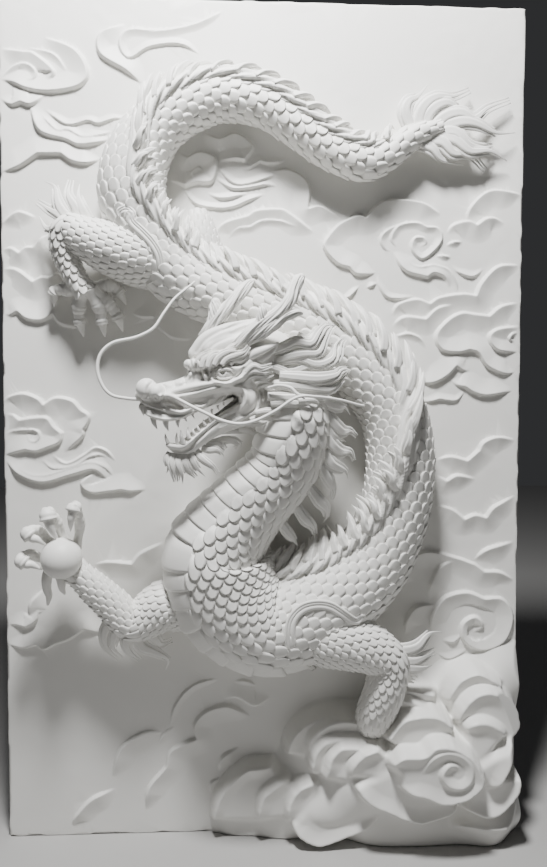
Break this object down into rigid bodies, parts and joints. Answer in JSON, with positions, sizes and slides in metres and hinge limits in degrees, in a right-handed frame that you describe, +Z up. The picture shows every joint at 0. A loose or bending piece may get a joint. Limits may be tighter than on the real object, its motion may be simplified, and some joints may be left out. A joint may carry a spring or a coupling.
{
  "type": "relief panel",
  "caption": "White plaster wall panel carved in high relief with a scaled dragon coiling among clouds, a pearl in its claw, on a tall flat slab that stands on its underside.",
  "frame": {"origin": "middle of the slab's flat underside, halfway through its thickness", "axes": "+Z up the panel, -Y out of the carved face toward the viewer, +Y out of the flat back, +X to the viewer's right"},
  "size_m": [1.22, 0.2992, 1.96],
  "materials": {
    "plaster": "matt white cast plaster with light trowel marks and a little dust"
  },
  "bodies": {
    "root": {"relief_panel": "plaster", "whisker_near": "plaster", "whisker_far": "plaster"}
  },
  "joints": []
}
